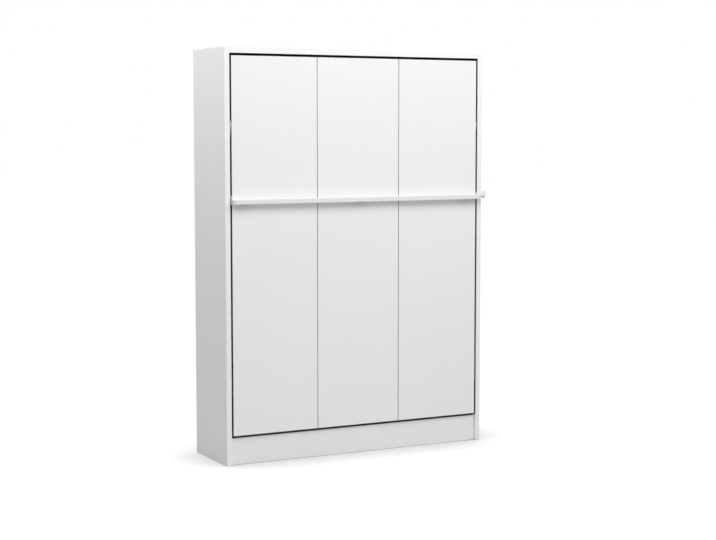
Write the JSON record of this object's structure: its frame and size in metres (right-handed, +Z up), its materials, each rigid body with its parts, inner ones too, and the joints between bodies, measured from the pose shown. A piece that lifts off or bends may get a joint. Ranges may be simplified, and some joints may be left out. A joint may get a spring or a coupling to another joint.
{
  "type": "wall bed",
  "caption": "White vertical wall bed: a shallow cabinet whose panelled front folds down as a slatted double bed on pivots, with gas struts and a swing-out bar leg.",
  "frame": {"origin": "on the floor, in the middle of the footprint", "axes": "+X to the right seen from the front, +Y towards the wall, +Z up"},
  "size_m": [1.57, 0.489, 2.21],
  "materials": {
    "white_board": "white melamine-faced board, satin, with white edge band",
    "inner_board": "grey melamine-faced board, satin, inside the cabinet",
    "birch": "bare birch plywood, fine sanded",
    "white_steel": "white powder coat, satin",
    "black_steel": "black paint, semi-gloss",
    "zinc_steel": "bright zinc plate",
    "dark_plastic": "dark grey moulded plastic, fine texture",
    "grey_plastic": "grey moulded plastic",
    "grey_rubber": "grey rubber",
    "white_plastic": "white moulded plastic, satin",
    "ticking": "off-white knitted mattress ticking",
    "webbing": "grey woven webbing"
  },
  "bodies": {
    "cabinet": {"side_panel_left": "white_board", "side_panel_right": "white_board", "top_panel": "white_board", "plinth": "white_board", "base_panel": "inner_board", "back_rail_top": "inner_board", "headboard_panel": "inner_board", "back_rail_bottom": "inner_board", "corner_brackets": "zinc_steel", "bracket_screws": "zinc_steel", "floor_glides": "grey_plastic", "pivot_plate_left": "zinc_steel", "pivot_plate_right": "zinc_steel", "pivot_pin_left": "zinc_steel", "pivot_pin_right": "zinc_steel", "pivot_screws": "zinc_steel", "strut_plates": "zinc_steel", "strut_bolts": "zinc_steel", "stop_blocks": "inner_board", "stop_bumpers": "dark_plastic", "turn_button_screw": "black_steel"},
    "bed": {"front_panel_left": "white_board", "front_panel_centre": "white_board", "front_panel_right": "white_board", "bed_rail_left": "inner_board", "bed_rail_right": "inner_board", "head_rail": "inner_board", "foot_rail": "inner_board", "front_battens": "inner_board", "slat_ledger_left": "birch", "slat_ledger_right": "birch", "centre_beam": "birch", "slats_left": "birch", "slats_right": "birch", "slat_caps_side": "dark_plastic", "slat_caps_centre": "dark_plastic", "mattress": "ticking", "mattress_straps": "webbing", "hinge_plate_left": "zinc_steel", "hinge_plate_right": "zinc_steel", "hinge_bush_left": "grey_plastic", "hinge_bush_right": "grey_plastic", "hinge_screws": "zinc_steel", "bed_strut_plates": "zinc_steel", "bed_strut_bolts": "zinc_steel", "leg_studs": "zinc_steel", "leg_stud_caps": "zinc_steel"},
    "leg": {"leg_arm_left": "white_steel", "leg_arm_right": "white_steel", "leg_crossbar": "white_steel", "crossbar_inserts": "white_plastic", "leg_bushes": "dark_plastic", "leg_screws": "zinc_steel", "foot_pads": "grey_rubber", "bar_bumpers": "grey_rubber"},
    "strut_tube_left": {"strut_tube_left": "black_steel"},
    "strut_tube_right": {"strut_tube_right": "black_steel"},
    "strut_rod_left": {"strut_rod_left": "zinc_steel"},
    "strut_rod_right": {"strut_rod_right": "zinc_steel"},
    "turn_button": {"turn_button": "white_plastic"}
  },
  "joints": [
    {"name": "bed_fold", "type": "hinge", "parent": "cabinet", "child": "bed", "pos_m": [0, -0.1485, 0.4315], "axis": [1, 0, 0], "range_deg": [0, 90]},
    {"name": "leg_swing", "type": "hinge", "parent": "bed", "child": "leg", "pos_m": [0, -0.1605, 1.806], "axis": [1, 0, 0], "range_deg": [-90, 0]},
    {"name": "strut_tube_left_swing", "type": "hinge", "parent": "cabinet", "child": "strut_tube_left", "pos_m": [-0.7385, -0.08069, 0.68457], "axis": [1, 0, 0], "range_deg": [0, 45]},
    {"name": "strut_rod_left_swing", "type": "hinge", "parent": "bed", "child": "strut_rod_left", "pos_m": [-0.7385, -0.12566, 0.1705], "axis": [1, 0, 0], "range_deg": [-45, 0]},
    {"name": "strut_tube_right_swing", "type": "hinge", "parent": "cabinet", "child": "strut_tube_right", "pos_m": [0.7385, -0.08069, 0.68457], "axis": [1, 0, 0], "range_deg": [0, 45]},
    {"name": "strut_rod_right_swing", "type": "hinge", "parent": "bed", "child": "strut_rod_right", "pos_m": [0.7385, -0.12566, 0.1705], "axis": [1, 0, 0], "range_deg": [-45, 0]},
    {"name": "turn_button_swivel", "type": "hinge", "parent": "cabinet", "child": "turn_button", "pos_m": [0.767, -0.2395, 1.404], "axis": [0, -1, 0], "range_deg": [0, 90]}
  ],
  "couplings": [
    {"joint": "leg_swing", "follows": "bed_fold", "ratio": -1},
    {"joint": "strut_tube_left_swing", "follows": "bed_fold", "ratio": 0.5},
    {"joint": "strut_rod_left_swing", "follows": "bed_fold", "ratio": -0.5},
    {"joint": "strut_tube_right_swing", "follows": "bed_fold", "ratio": 0.5},
    {"joint": "strut_rod_right_swing", "follows": "bed_fold", "ratio": -0.5}
  ]
}
